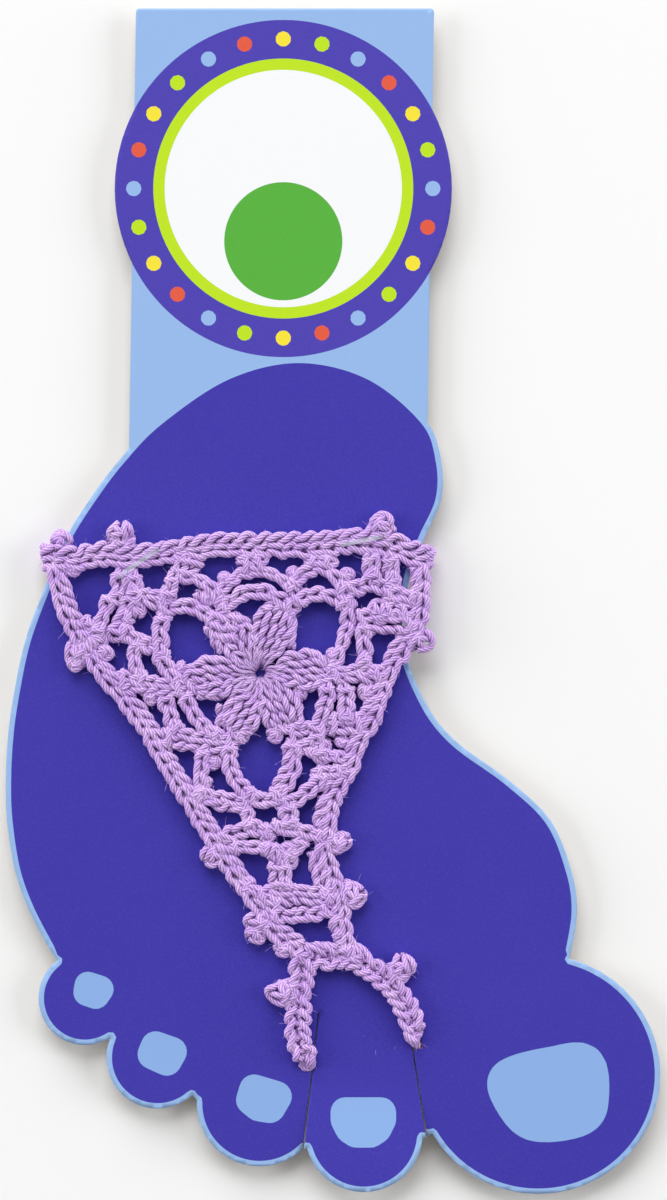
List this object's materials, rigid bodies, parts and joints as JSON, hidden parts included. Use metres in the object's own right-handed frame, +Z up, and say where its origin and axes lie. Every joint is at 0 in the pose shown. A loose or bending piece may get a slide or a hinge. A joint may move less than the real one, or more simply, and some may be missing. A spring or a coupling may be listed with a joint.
{
  "type": "crocheted barefoot sandal on a foot-shaped display card",
  "caption": "Lilac crocheted barefoot sandal, a lace triangle with a flower, ankle strap and toe loop, tied round a blue foot-shaped display card.",
  "frame": {"origin": "centre of the bounding box in plan, at the floor: the underside of the ankle strap and the toe loop, which the piece lies on", "axes": "+Z up, out of the card's printed front; +Y from the toes to the top of the header strip; +X towards the big toe"},
  "size_m": [0.144, 0.2608, 0.0075],
  "materials": {
    "yarn": "matte",
    "board": "satin",
    "clear_tie": "gloss"
  },
  "bodies": {
    "root": {"card": "board", "flower_motif": "yarn", "lace_net": "yarn", "edging_left": "yarn", "edging_right": "yarn", "ankle_strap": "yarn", "toe_loop": "yarn", "tie_left": "clear_tie", "tie_right": "clear_tie"}
  },
  "joints": []
}
